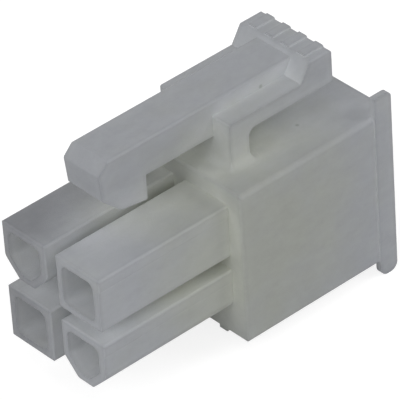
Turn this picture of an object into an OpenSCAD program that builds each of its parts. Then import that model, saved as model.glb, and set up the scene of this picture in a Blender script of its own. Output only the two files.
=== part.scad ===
// Receptacle housing for a wire to board power connector, moulded in one piece.
// X runs across the housing, Y runs from the mating silos (-Y) to the wire side (+Y), Z is up.
// The origin is on the surface the housing stands on, under the middle of its bounding box.

/* [Contact pattern] */
// Distance between neighbouring contacts, both ways
pitch = 4.2; // [4:0.1:5.1]
// Contacts in one row
columns = 2; // [2:1:6]
// Rows of contacts
rows = 2; // [1:1:2]

/* [Body] */
// Plastic from an outer contact's centre line to the outside of the body
margin = 2.7; // [2.5:0.1:3.4]
// Length of the body, from its front shoulder to the wire face
body_len = 10.76; // [8:0.1:14]
// Rounding of the body's long edges
body_round = 0.28; // [0.1:0.02:0.5]
// Rounding of the shoulder's rim
shoulder_round = 0.16; // [0.05:0.01:0.3]

/* [Silos] */
// Outer width and height of a silo
silo_w = 3.35; // [3:0.05:3.7]
// Length of the silos in front of the shoulder
silo_len = 8.94; // [6:0.1:12]
// Wall of a silo at its mouth
silo_wall = 0.44; // [0.35:0.01:0.6]
// Rounding of a silo's long edges
silo_round = 0.14; // [0.05:0.01:0.3]
// Rounding of the rim round a silo's mouth
rim_round = 0.1; // [0.05:0.01:0.2]
// Rounding of the bore's corners
bore_round = 0.42; // [0.2:0.02:0.6]
// Leg of the two lower corners cut off a keyed silo
key_cut = 1.15; // [0.8:0.05:1.3]
// Rounding where a keyed silo's cut corners meet its sides
key_round = 0.6; // [0.2:0.05:0.8]
// Rounding of the cut corners inside a keyed silo
bore_key_round = 0.38; // [0.1:0.02:0.6]
// Height of the guide rib along the top of each outer side
rib_h = 0.77; // [0.4:0.01:1.2]
// How far the guide rib stands proud
rib_t = 0.05; // [0.03:0.01:0.1]

/* [Contact cavities] */
// Width and height of the wire entry at the rear
entry_w = 3.3; // [3:0.05:3.5]
// Depth of the wire entry
entry_len = 6.4; // [4:0.1:7]
// Lead-in chamfer round the wire entry
entry_lead = 0.3; // [0.1:0.05:0.35]
// Width and height of the latching ring that the contact's tangs snap past
ring_w = 2.72; // [2.5:0.02:2.9]
// Thickness of the latching ring
ring_len = 0.9; // [0.5:0.1:1.4]
// Width and height of the chamber between the ring and the silo's bore
chamber_w = 3.06; // [2.9:0.02:3.2]
// Solid shoulder left between the chamber and the front of the body
chamber_stop = 0.7; // [0.4:0.1:1.2]

/* [Latch] */
// Width of the latch arm
arm_w = 2.73; // [2:0.05:4]
// Thickness of the latch arm
arm_t = 2.12; // [1.4:0.02:2.4]
// Gap between the body's top plane and the underside of the arm
arm_gap = 1.48; // [1:0.02:2]
// Setback of the hook's nose behind the silo mouths
nose_setback = 2.55; // [1:0.05:4]
// Length of the hook from its nose to the catch face
hook_len = 3.1; // [2:0.1:4]
// Drop of the hook below the underside of the arm, at the catch face
hook_drop = 1.56; // [0.8:0.02:1.8]
// Chamfer on top of the nose
nose_cut = 0.68; // [0.3:0.02:1]
// Lean of the nose's front face, over its height
nose_rake = 0.16; // [0:0.02:0.4]
// Rounding of the nose's corners
nose_round = 0.2; // [0.05:0.01:0.4]
// Length of the ramp under the nose
ramp_len = 1.14; // [0.6:0.02:1.6]
// Height of the ramp's start above the hook's lowest point
ramp_rise = 1.36; // [0.8:0.02:1.8]
// Rise of the hook's sole from the catch face to the foot of the ramp
sole_rise = 0.3; // [0:0.02:0.5]
// Rounding of the long edges of the arm and the lever
edge_round = 0.14; // [0.05:0.01:0.3]
// Width of the lever plate and its thumb pad
lever_w = 5.36; // [3.6:0.02:7]
// Thickness of the lever plate
plate_t = 0.9; // [0.7:0.05:1.1]
// Step from the lever plate up to the top of the arm
plate_step = 0.86; // [0.4:0.02:1.2]
// Setback of the lever's front edge behind the shoulder
lever_setback = 1.4; // [0.6:0.05:2.4]
// Length of the lever plate and pad
lever_len = 7.3; // [5:0.1:8.5]
// Length of the foot that joins the lever to the body
foot_len = 1.3; // [0.8:0.05:2]
// Fillet all round the foot, and under the plate behind it
foot_fillet = 0.5; // [0.1:0.05:0.6]
// Rounding of the lever plate's front and rear edges
plate_round = 0.1; // [0.05:0.01:0.3]
// Height of the thumb pad above the top of the arm
pad_rise = 0.26; // [0.1:0.02:0.6]
// Rounding of the pad's front and rear edges
pad_round = 0.2; // [0.05:0.01:0.4]
// Length of the flat top of the thumb pad
pad_len = 1.5; // [1:0.1:2.5]
// Length of the ramp from the lever plate up to the pad
pad_ramp = 0.75; // [0.4:0.05:1.2]
// Number of grip ribs on the pad
grips = 4; // [2:1:6]
// Width of a grip rib
grip_w = 0.66; // [0.2:0.02:0.8]
// Height of a grip rib
grip_h = 0.1; // [0.05:0.01:0.2]
// Plain strip at each side of the row of grip ribs
grip_inset = 0.19; // [0:0.01:0.6]
// Plain strip in front of and behind the grip ribs
grip_gap = 0.09; // [0.04:0.01:0.3]

/* [Rear ears] */
// Length of an ear along the housing
ear_len = 1.2; // [0.8:0.05:2]
// Height of an ear above the top of the body
ear_rise = 1.25; // [0.5:0.05:1.6]
// Depth of an ear below the bottom of the body
ear_drop = 0.85; // [0.4:0.05:1.4]
// Thickness of an ear
ear_t = 0.38; // [0.25:0.01:0.6]
// How far an ear stands proud of the body's side
ear_proud = 0.1; // [0.06:0.01:0.3]
// Rounding of an ear's upper rear corner
ear_round_top = 0.34; // [0.1:0.02:0.6]
// Rounding of an ear's lower corners
ear_round_bottom = 0.5; // [0.1:0.02:0.6]

/* [Gate mark] */
// Distance of the moulding gate's stub from the middle of the underside
gate_x = 2.75; // [0:0.05:4]
// Width of the stub
gate_w = 0.6; // [0.3:0.05:1]
// Length of the stub behind the shoulder
gate_len = 1.1; // [0.4:0.1:3]
// Height of the stub
gate_h = 0.16; // [0.05:0.01:0.25]

/* [Hidden] */
$fn = 48;
natural_nylon = "#bcbfbd";
body_w = (columns - 1) * pitch + 2 * margin;
body_h = (rows - 1) * pitch + 2 * margin;
overall_len = silo_len + body_len;
centre_z = body_h / 2 + ear_drop;
body_top = body_h / 2;
arm_under = body_top + arm_gap;
arm_top = arm_under + arm_t;
plate_top = arm_top - plate_step;
pad_top = arm_top + pad_rise;
lever_y = silo_len + lever_setback;
lever_end = lever_y + lever_len;
hook_under = arm_under - hook_drop;
bore_w = silo_w - 2 * silo_wall;
chamber_y = silo_len + chamber_stop;
ring_end = overall_len - entry_len;
over = 0.05; // overlap that keeps a cut or a join from ending on a shared face
sharp = 0.07; // rounding left on a corner that is nearly sharp

// A convex outline with each corner rounded by its own radius; corners run anticlockwise.
// A rounding that is too large for the side next to it is held back to nearly half of that side.
module rounded(corners, radii) {
    n = len(corners);
    nearly_half = 0.48;
    side = [for (i = [0:n - 1]) corners[(i + 1) % n] - corners[i]];
    to_next = [for (v = side) v / norm(v)];
    last = function (i) (i + n - 1) % n;
    // Half of the turn at each corner, between the way in and the way out
    half_turn = [for (i = [0:n - 1]) acos(min(1, to_next[last(i)] * to_next[i])) / 2];
    room = [for (i = [0:n - 1]) nearly_half * min(norm(side[last(i)]), norm(side[i]))];
    r = [for (i = [0:n - 1]) min(radii[i], room[i] / tan(half_turn[i]))];
    reach = [for (i = [0:n - 1]) r[i] * tan(half_turn[i])];
    polygon([
        for (i = [0:n - 1], way = [to_next[last(i)] * -1, to_next[i]])
            corners[i] + reach[i] * way
    ]);
    for (i = [0:n - 1])
        if (r[i] > 0) {
            inward = [-to_next[i].y, to_next[i].x];
            translate(corners[i] + reach[i] * to_next[i] + r[i] * inward)
                circle(r = r[i]);
        }
}

// A rectangle centred on the origin with all corners rounded alike.
module rounded_box(w, h, r) {
    rounded([[-w / 2, -h / 2], [w / 2, -h / 2], [w / 2, h / 2], [-w / 2, h / 2]], [r, r, r, r]);
}

// Extrudes a section drawn in X and Z along the housing, from y0 to y1.
module along_y(y0, y1) {
    translate([0, y1, 0])
        rotate([90, 0, 0])
            linear_extrude(height = y1 - y0)
                children();
}

// Extrudes a side view drawn in Y and Z across the housing, w wide and centred.
module across_x(w) {
    rotate([90, 0, 90])
        linear_extrude(height = w, center = true)
            children();
}

// Extrudes a plan drawn in X and Y upwards, from z0 to z1.
module up_z(z0, z1) {
    translate([0, 0, z0])
        linear_extrude(height = z1 - z0)
            children();
}

// Section of a silo or its bore: square, or keyed with its two lower corners cut off.
module silo_section(w, keyed, cut, r, r_key) {
    h = w / 2;
    if (keyed)
        rounded([[-h, -h + cut], [-h + cut, -h], [h - cut, -h], [h, -h + cut], [h, h], [-h, h]],
                [r_key, r_key, r_key, r_key, r, r]);
    else
        rounded_box(w, w, r);
}

// Places its children on every contact's centre line and says which contacts are keyed.
module at_contacts() {
    for (column = [0:columns - 1], row = [0:rows - 1]) {
        $keyed = (column + row) % 2 == 0;
        $outer = column == 0 ? -1 : column == columns - 1 ? 1 : 0;
        translate([(column - (columns - 1) / 2) * pitch, 0, ((rows - 1) / 2 - row) * pitch])
            children();
    }
}

// The hollow post that enters one cell of the mating header.
module silo() {
    h = silo_w / 2;
    root = silo_len + over;
    // The guide rib runs along the top of an outer side
    left = -h - ($outer == -1 ? rib_t : 0);
    right = h + ($outer == 1 ? rib_t : 0);
    intersection() {
        along_y(0, root) {
            silo_section(silo_w, $keyed, key_cut, silo_round, key_round);
            rounded([[left, h - rib_h], [right, h - rib_h], [right, h], [left, h]],
                    [rib_t, rib_t, silo_round, silo_round]);
        }
        // Rounded rim of the mouth, seen from the side and from above
        across_x(2 * silo_w)
            rounded([[0, -h], [root, -h], [root, h], [0, h]], [rim_round, 0, 0, rim_round]);
        up_z(-silo_w, silo_w)
            rounded([[left, 0], [right, 0], [right, root], [left, root]], [rim_round, rim_round, 0, 0]);
    }
}

// A passage that widens towards the wire face, as two crossing wedges.
module lead_in(w, lead) {
    wedge = [[-w / 2, -lead], [w / 2, -lead], [w / 2 + lead, 0], [w / 2 + lead, over],
             [-w / 2 - lead, over], [-w / 2 - lead, 0]];
    translate([0, overall_len, 0])
        intersection() {
            up_z(-w, w) polygon(wedge);
            across_x(2 * w) polygon([for (p = wedge) [p.y, p.x]]);
        }
}

// One contact's passage right through the housing: bore, chamber, latching ring and wire entry.
module contact_cavity() {
    // Inset of a 45 degree cut by the wall leaves a shorter leg
    bore_cut = key_cut - silo_wall * (2 - sqrt(2));
    along_y(-over, chamber_y + over)
        silo_section(bore_w, $keyed, bore_cut, bore_round, bore_key_round);
    along_y(chamber_y, ring_end - ring_len)
        rounded_box(chamber_w, chamber_w, bore_round);
    along_y(chamber_y, ring_end + over)
        rounded_box(ring_w, ring_w, bore_round);
    along_y(ring_end, overall_len + over)
        rounded_box(entry_w, entry_w, bore_round);
    lead_in(entry_w, entry_lead);
}

// The block behind the shoulder that holds the contacts.
module body_block() {
    r = shoulder_round;
    intersection() {
        along_y(silo_len, overall_len)
            rounded_box(body_w, body_h, body_round);
        up_z(-body_h, body_h)
            rounded([[-body_w / 2, silo_len], [body_w / 2, silo_len],
                     [body_w / 2, overall_len], [-body_w / 2, overall_len]], [r, r, 0, 0]);
        across_x(2 * body_w)
            rounded([[silo_len, -body_h / 2], [overall_len, -body_h / 2],
                     [overall_len, body_h / 2], [silo_len, body_h / 2]], [r, 0, 0, r]);
    }
}

// The pair of thin ears at the rear corners, standing above and below the body.
module ears() {
    top = body_top + ear_rise;
    bottom = -body_top - ear_drop;
    front = overall_len - ear_len;
    for (side = [-1, 1])
        translate([side * (body_w / 2 + ear_proud - ear_t / 2), 0, 0])
            across_x(ear_t)
                rounded([[front, bottom], [overall_len, bottom], [overall_len, top], [front, top]],
                        [ear_round_bottom, ear_round_bottom, ear_round_top, sharp]);
}

// The arm: a bar with a ramped hook at its front, running back into the lever.
module latch_arm() {
    nose = nose_setback;
    catch_y = nose + hook_len;
    ramp_y = nose + nose_rake;
    intersection() {
        across_x(arm_w) {
            rounded([[nose, arm_top - nose_cut], [ramp_y, hook_under + ramp_rise],
                     [ramp_y + ramp_len, hook_under + sole_rise], [catch_y, hook_under],
                     [catch_y, arm_top], [nose + nose_cut, arm_top]],
                    [nose_round, nose_round, nose_round, sharp, 0, nose_round]);
            translate([catch_y - over, arm_under])
                square([lever_end - pad_len - catch_y, arm_t]);
        }
        along_y(0, overall_len)
            translate([0, (arm_top + hook_under) / 2 - over])
                rounded_box(arm_w, arm_top - hook_under + 2 * over, edge_round);
    }
}

// Section of a fillet in a corner at the origin, reaching past the corner by a lap.
module fillet_section(lap) {
    f = foot_fillet;
    difference() {
        translate([-lap, -over])
            square([f + lap, f + over]);
        translate([f, f])
            circle(r = f);
    }
}

// The fillet that runs round the foot on the body's top: four sides and four corners.
module foot_fillets() {
    front = lever_y;
    rear = lever_y + foot_len;
    translate([0, 0, body_top]) {
        across_x(lever_w) {
            translate([front, 0]) mirror([1, 0]) fillet_section(over);
            translate([rear, 0]) fillet_section(over);
        }
        along_y(front, rear)
            for (side = [-1, 1])
                translate([side * lever_w / 2, 0])
                    mirror([side < 0 ? 1 : 0, 0])
                        fillet_section(over);
        for (corner = [0:3])
            translate([(corner % 3 == 0 ? 1 : -1) * lever_w / 2, corner < 2 ? rear : front, 0])
                rotate([0, 0, 90 * corner])
                    rotate_extrude(angle = 90)
                        fillet_section(0);
    }
}

// The lever behind the arm: a wide plate on a foot, ending in the raised thumb pad.
module lever() {
    plate_under = plate_top - plate_t;
    pad_front = lever_end - pad_len;
    intersection() {
        across_x(lever_w) {
            // Plate
            rounded([[lever_y, plate_under], [lever_end, plate_under],
                     [lever_end, plate_top], [lever_y, plate_top]], [0, plate_round, 0, plate_round]);
            // Pad with its ramp
            rounded([[pad_front - pad_ramp, plate_top - over], [lever_end, plate_top - over],
                     [lever_end, pad_top], [pad_front, pad_top]], [0, 0, pad_round, pad_round]);
            // Foot, with its fillet under the plate
            translate([lever_y, body_top - over])
                square([foot_len, plate_under - body_top + 2 * over]);
            translate([lever_y + foot_len, plate_under])
                mirror([0, 1])
                    fillet_section(over);
        }
        along_y(0, overall_len)
            translate([0, (pad_top + body_top) / 2 - over])
                rounded_box(lever_w, pad_top - body_top + 2 * over, edge_round);
    }
    foot_fillets();
    // Grip ribs along the top of the pad
    spacing = (lever_w - 2 * grip_inset) / grips;
    for (i = [0:grips - 1])
        translate([(i - (grips - 1) / 2) * spacing, 0, pad_top])
            along_y(pad_front + grip_gap, lever_end - grip_gap)
                rounded_box(grip_w, 2 * grip_h, grip_h);
}

// The trimmed stub of the moulding gate, on the underside at the shoulder.
module gate_stub() {
    translate([gate_x, 0, -body_top - gate_h])
        up_z(0, 2 * gate_h)
            rounded([[-gate_w / 2, silo_len + over], [gate_w / 2, silo_len + over],
                     [gate_w / 2, silo_len + gate_len], [-gate_w / 2, silo_len + gate_len]],
                    [0, 0, gate_w / 2, gate_w / 2]);
}

module housing() {
    color(natural_nylon)
        translate([0, -overall_len / 2, centre_z])
            difference() {
                union() {
                    body_block();
                    at_contacts() silo();
                    ears();
                    gate_stub();
                    latch_arm();
                    lever();
                }
                at_contacts() contact_cavity();
            }
}

housing();
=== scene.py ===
import math

import bpy
from mathutils import Matrix, Vector


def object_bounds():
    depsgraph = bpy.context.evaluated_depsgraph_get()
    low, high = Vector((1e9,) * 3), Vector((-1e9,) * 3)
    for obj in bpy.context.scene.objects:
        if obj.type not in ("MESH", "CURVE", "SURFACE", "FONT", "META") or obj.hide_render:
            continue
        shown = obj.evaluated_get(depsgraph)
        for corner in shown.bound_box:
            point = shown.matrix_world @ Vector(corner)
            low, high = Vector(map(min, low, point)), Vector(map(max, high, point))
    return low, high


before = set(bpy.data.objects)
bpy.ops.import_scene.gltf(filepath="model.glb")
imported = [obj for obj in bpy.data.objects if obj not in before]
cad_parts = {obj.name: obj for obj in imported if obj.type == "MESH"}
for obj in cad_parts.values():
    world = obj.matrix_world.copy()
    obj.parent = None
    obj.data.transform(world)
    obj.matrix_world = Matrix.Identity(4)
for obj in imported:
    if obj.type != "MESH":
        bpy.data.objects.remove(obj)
cad_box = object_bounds()
MM = 0.001

scene = bpy.context.scene
low, high = cad_box
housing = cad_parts["housing"]

# Natural nylon: milky and slightly blue where it is thin, yellower where it is thick
BODY_COLOUR = (0.322, 0.333, 0.354, 1.0)
SILO_COLOUR = (0.345, 0.357, 0.379, 1.0)
# Painted shade: the far silos are darker, where less light reaches them
FAR_SILO_PAINTED_SHADE_COLOUR = (0.238, 0.245, 0.262, 1.0)
# Painted light: the paler colour between close walls
CREVICE_PAINTED_LIGHT_COLOUR = (0.68, 0.70, 0.72, 1.0)
# Painted shade: the darkening of thin edges
EDGE_PAINTED_SHADE_TINT = (0.71, 0.71, 0.72, 1.0)
THICK_TINT = (1.0, 1.0, 0.865, 1.0)
SPECK_TINT = (0.72, 0.73, 0.70, 1.0)

# How far other walls are looked for around a place, and within the plastic below it
CREVICE_REACH = 3 * MM
EDGE_REACH = 0.28 * MM

# Where the colours change into each other, in mm: behind the silos' mouths, below the top, from the
# middle, where the far silos' painted shade fades out
BODY_TO_SILO = (9.45, 7.45)
SILO_TO_ARM = (4.9, 4.3)
PAINTED_SHADE_FAR_TO_NEAR = (-2.6, 1.6)
THICKEST = (2.5, 0.5, 6.2)
THICK_RADII = (2.5, 10.0)
# Dark specks caught in the plastic: centre on the surface and radius, in mm
SPECKS = [((1.37, 3.92, 13.31), 0.17), ((2.29, 5.49, 10.45), 0.16), ((4.95, 9.48, 11.74), 0.1)]

# Studio lamps: name, azimuth and elevation in degrees, watts
LAMPS = [
    ("front", 0, 30, 5.0),
    ("key", 45, 32, 3.4),
    ("side", 90, 12, 2.45),
    ("rear", 140, 34, 4.5),
    ("left", 270, 40, 2.4),
    ("far", 225, 8, 1.7),
    ("top", 45, 75, 1.4),
]
LAMP_DISTANCE = 1.2
LAMP_SIZE = 0.6
WORLD_FILL = 0.14
FLOOR_REACH = 1.5
PICTURE_WIDTH = 400


# ---------------------------------------------------------------- node helpers
class Nodes:
    """A small wrapper that adds shader nodes and links them in one call."""

    def __init__(self, tree):
        self.tree = tree
        tree.nodes.clear()

    def add(self, kind, props=None, **inputs):
        node = self.tree.nodes.new(kind)
        for key, value in (props or {}).items():
            setattr(node, key, value)
        for key, value in inputs.items():
            self.put(node, key.replace("_", " "), value)
        return node

    def put(self, node, socket, value):
        target = node.inputs[socket]
        if isinstance(value, bpy.types.NodeSocket):
            self.tree.links.new(value, target)
        else:
            target.default_value = value

    def show(self, shader, kind="ShaderNodeOutputMaterial"):
        """Links a shader to the output of the material or the world."""
        self.put(self.add(kind), "Surface", shader.outputs[0])

    def math(self, operation, a, b, clamp=False):
        node = self.add("ShaderNodeMath", {"operation": operation, "use_clamp": clamp})
        self.put(node, 0, a)
        self.put(node, 1, b)
        return node.outputs[0]

    def vector_math(self, operation, a, b, result="Vector"):
        node = self.add("ShaderNodeVectorMath", {"operation": operation})
        self.put(node, 0, a)
        self.put(node, 1, b)
        return node.outputs[result]

    def noise(self, place, scale, detail, rough):
        node = self.add("ShaderNodeTexNoise", Vector=place, Scale=scale, Detail=detail, Roughness=rough)
        return node.outputs["Fac"]

    def remap(self, value, a, b, c, d, smooth=False):
        """Takes a to c and b to d, and what lies between them evenly or smoothly."""
        node = self.add("ShaderNodeMapRange", {"interpolation_type": "SMOOTHSTEP" if smooth else "LINEAR"})
        for socket, v in zip(("Value", "From Min", "From Max", "To Min", "To Max"), (value, a, b, c, d)):
            self.put(node, socket, v)
        return node.outputs["Result"]

    def spread(self, noise, least, most):
        """Takes a noise's usual span, 0.3 to 0.7, to the one given."""
        return self.remap(noise, 0.3, 0.7, least, most)

    def mix(self, factor, a, b, blend="MIX"):
        node = self.add("ShaderNodeMix", {"data_type": "RGBA", "blend_type": blend})
        self.put(node, "Factor", factor)
        self.put(node, 6, a)
        self.put(node, 7, b)
        return node.outputs[2]

    def tint(self, factor, colour, by):
        return self.mix(factor, colour, by, "MULTIPLY")

    def near(self, place, centre, inner, outer):
        """1 inside the inner radius round a centre, falling smoothly to 0 at the outer one, in mm."""
        distance = self.vector_math("DISTANCE", place, centre, "Value")
        return self.remap(distance, inner, outer, 1.0, 0.0, smooth=True)

    def occluded(self, reach, inside=False):
        """The share of directions, outside or inside the plastic, in which a wall is within reach."""
        props = {"samples": 6, "only_local": True, "inside": inside}
        node = self.add("ShaderNodeAmbientOcclusion", props, Distance=reach)
        return self.math("SUBTRACT", 1.0, node.outputs["AO"], clamp=True)


def new_material(name):
    material = bpy.data.materials.new(name)
    material.use_nodes = True
    return material, Nodes(material.node_tree)


# ---------------------------------------------------------------- moulded natural nylon
def nylon_colour_painted_light_and_shade(n, mm):
    """The plastic's own colour at a place in mm: milkiness, tint, clouds, flow marks and specks, with
    painted shade on the far silos and thin edges and painted light between close walls.
    """
    mouths = low.y / MM
    top = high.z / MM
    axes = n.add("ShaderNodeSeparateXYZ", Vector=mm).outputs
    ahead_of_body = n.remap(axes["Y"], *(mouths + d for d in BODY_TO_SILO), 0.0, 1.0, smooth=True)
    below_arm = n.remap(axes["Z"], *(top - d for d in SILO_TO_ARM), 1.0, 0.0, smooth=True)
    # Painted shade: the far silos are darker on all their faces, where less light reaches them
    painted_shade_fade = n.remap(axes["X"], *PAINTED_SHADE_FAR_TO_NEAR, 0.0, 1.0, smooth=True)
    silo = n.mix(painted_shade_fade, FAR_SILO_PAINTED_SHADE_COLOUR, SILO_COLOUR)
    colour = n.mix(n.math("MULTIPLY", ahead_of_body, below_arm), BODY_COLOUR, silo)

    # Painted light: the colour is paler between close walls, standing in for light caught there in the
    # milky plastic
    colour = n.mix(n.occluded(CREVICE_REACH), colour, CREVICE_PAINTED_LIGHT_COLOUR)

    # Painted shade: thin edges are darkened so they are hardly brighter than the faces beside them,
    # standing in for light leaking out there
    colour = n.tint(n.occluded(EDGE_REACH, inside=True), colour, EDGE_PAINTED_SHADE_TINT)

    # Yellower in the thick plastic behind the shoulder, with soft clouds
    cloud = n.spread(n.noise(mm, 0.45, 3.0, 0.6), -0.2, 0.2)
    thick = n.math("ADD", n.near(mm, THICKEST, *THICK_RADII), cloud, clamp=True)
    colour = n.tint(thick, colour, THICK_TINT)

    # Faint flow marks along the mould's filling direction, and a fine grain
    stretched = n.vector_math("MULTIPLY", mm, (1.0, 0.45, 1.0))
    flow = n.spread(n.noise(stretched, 1.5, 4.0, 0.65), 0.96, 1.04)
    grain = n.spread(n.noise(mm, 14.0, 2.0, 0.5), 0.985, 1.015)
    shade = n.math("MULTIPLY", flow, grain)
    tone = n.add("ShaderNodeCombineColor", Red=shade, Green=shade, Blue=shade).outputs[0]
    colour = n.tint(1.0, colour, tone)

    for centre, radius in SPECKS:
        colour = n.tint(n.near(mm, centre, 0.3 * radius, radius), colour, SPECK_TINT)
    return colour


def natural_nylon():
    """A matt spark-eroded mould finish, worn a little glossier in patches, with slight sinks."""
    material, n = new_material("natural_nylon")
    place = n.add("ShaderNodeTexCoord").outputs["Object"]
    mm = n.vector_math("MULTIPLY", place, (1 / MM, 1 / MM, 1 / MM))

    finish = n.noise(mm, 11.0, 3.0, 0.6)
    sinks = n.noise(mm, 0.9, 2.0, 0.5)
    bump = n.add("ShaderNodeBump", Strength=0.15, Distance=0.02 * MM, Height=finish).outputs[0]
    bump = n.add("ShaderNodeBump", Strength=0.25, Distance=0.08 * MM, Height=sinks, Normal=bump).outputs[0]

    n.show(n.add(
        "ShaderNodeBsdfPrincipled",
        {"subsurface_method": "RANDOM_WALK"},
        Base_Color=nylon_colour_painted_light_and_shade(n, mm),
        Roughness=n.spread(n.noise(mm, 2.2, 3.0, 0.6), 0.62, 0.84),
        Normal=bump,
        IOR=1.53,
        Specular_IOR_Level=0.4,
        Subsurface_Weight=0.15,
        Subsurface_Radius=(1.0, 0.97, 0.9),
        Subsurface_Scale=3 * MM,
    ))
    return material


housing.data.materials.clear()
housing.data.materials.append(natural_nylon())


# ---------------------------------------------------------------- floor, lamps and world
def seen_directly(n):
    """1 for rays that show the surroundings themselves, 0 for rays that carry light onto the housing."""
    path = n.add("ShaderNodeLightPath").outputs
    seen = n.math("MAXIMUM", path["Is Camera Ray"], path["Is Glossy Ray"])
    return n.math("MAXIMUM", seen, path["Is Transmission Ray"])


def pale_floor():
    """Matt and pale to the light; seen as white, with the housing's soft shadow kept."""
    material, n = new_material("pale_floor")
    matt = n.add("ShaderNodeBsdfDiffuse", Color=(0.65, 0.65, 0.65, 1.0))
    shaded = n.add("ShaderNodeBsdfDiffuse", Color=(0.35, 0.35, 0.35, 1.0))
    white = n.add("ShaderNodeEmission", Color=(1.0, 1.0, 1.0, 1.0), Strength=0.8)
    bright = n.add("ShaderNodeAddShader")
    n.put(bright, 0, shaded.outputs[0])
    n.put(bright, 1, white.outputs[0])
    both = n.add("ShaderNodeMixShader")
    n.put(both, 0, seen_directly(n))
    n.put(both, 1, matt.outputs[0])
    n.put(both, 2, bright.outputs[0])
    n.show(both)
    return material


def make_floor():
    mesh = bpy.data.meshes.new("floor")
    r = FLOOR_REACH
    mesh.from_pydata([(-r, -r, 0), (r, -r, 0), (r, r, 0), (-r, r, 0)], [], [(0, 1, 2, 3)])
    floor = bpy.data.objects.new("floor", mesh)
    scene.collection.objects.link(floor)
    floor.location.z = low.z
    floor.data.materials.append(pale_floor())


def direction(azimuth, elevation):
    """The unit vector from the housing towards an azimuth and elevation; azimuth 0 is the silos' side."""
    a, e = math.radians(azimuth), math.radians(elevation)
    return Vector((math.sin(a) * math.cos(e), -math.cos(a) * math.cos(e), math.sin(e)))


def soft_box(name, azimuth, elevation, watts):
    """A square lamp that stands off from the housing and faces its middle."""
    data = bpy.data.lights.new(name, "AREA")
    data.shape = "SQUARE"
    data.size = LAMP_SIZE
    data.energy = watts
    lamp = bpy.data.objects.new(name, data)
    lamp.visible_camera = False
    scene.collection.objects.link(lamp)
    back = direction(azimuth, elevation)
    lamp.location = (low + high) / 2 + LAMP_DISTANCE * back
    lamp.rotation_mode = "QUATERNION"
    lamp.rotation_quaternion = (-back).to_track_quat("-Z", "Y")


def white_studio():
    """A dim white fill on the housing, seen as plain white behind it."""
    world = bpy.data.worlds.new("studio")
    scene.world = world
    world.use_nodes = True
    n = Nodes(world.node_tree)
    strength = n.remap(seen_directly(n), 0.0, 1.0, WORLD_FILL, 1.0)
    background = n.add("ShaderNodeBackground", Color=(1.0, 1.0, 1.0, 1.0), Strength=strength)
    n.show(background, "ShaderNodeOutputWorld")


make_floor()
for lamp_settings in LAMPS:
    soft_box(*lamp_settings)
white_studio()


# ---------------------------------------------------------------- camera
def make_camera(azimuth, elevation, roll, distance, pixels_per_mm, aim):
    data = bpy.data.cameras.new("camera")
    camera = bpy.data.objects.new("camera", data)
    scene.collection.objects.link(camera)
    back = direction(azimuth, elevation)
    upright = (-back).to_track_quat("-Z", "Y").to_matrix()
    turned = upright @ Matrix.Rotation(math.radians(roll), 3, "Z")
    camera.matrix_world = Matrix.Translation(aim + distance * back) @ turned.to_4x4()
    data.sensor_width = 36.0
    data.lens = data.sensor_width * pixels_per_mm * (distance / MM) / PICTURE_WIDTH
    data.clip_start = 0.01
    data.clip_end = 10.0
    scene.camera = camera


make_camera(
    azimuth=50.3,
    elevation=36.6,
    roll=-4.05,
    distance=0.246,
    pixels_per_mm=19.0,
    aim=(low + high) / 2 + Vector((0.1, 0.34, 0.005)) * MM,
)

scene.view_settings.view_transform = "Standard"
